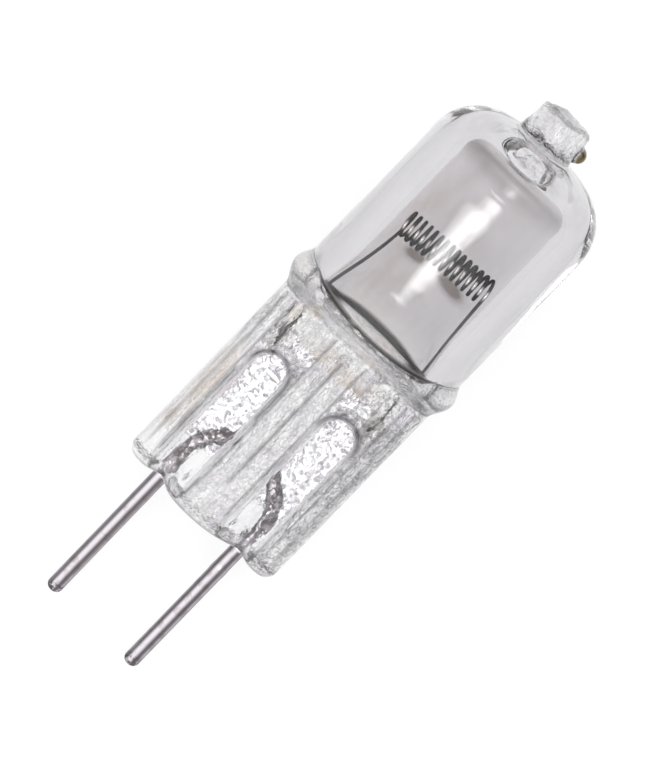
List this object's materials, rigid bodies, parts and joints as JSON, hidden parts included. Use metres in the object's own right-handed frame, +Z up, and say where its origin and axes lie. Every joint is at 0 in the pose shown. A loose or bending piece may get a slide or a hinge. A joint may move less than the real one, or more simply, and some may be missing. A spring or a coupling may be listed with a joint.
{
  "type": "halogen capsule light bulb",
  "caption": "Clear quartz halogen capsule bulb with a coiled filament across a thick-walled round bulb, a flat pinched base with sunk panels, and straight connecting pins.",
  "frame": {"origin": "centre of the lamp's footprint box, on the table that it lies on", "axes": "+Y runs level from the pins towards the exhaust tip, +X across the two pins from the left pin to the right one, and +Z up; the lamp's own axis leans 12.21 degrees up from +Y because it rests on the belly of the bulb and both pin tips"},
  "size_m": [0.0128, 0.0414, 0.014],
  "materials": {
    "quartz": "clear fused quartz, fire polished, lightly marked where the jaws pressed it",
    "tungsten": "drawn tungsten wire, dull grey",
    "molybdenum_foil": "thin rolled foil, bright with small wrinkles",
    "pin_metal": "bright drawn wire with dark rounded tips"
  },
  "bodies": {
    "root": {"quartz_envelope": "quartz", "filament": "tungsten", "foil_left": "molybdenum_foil", "foil_right": "molybdenum_foil", "pin_left": "pin_metal", "pin_right": "pin_metal"}
  },
  "joints": []
}
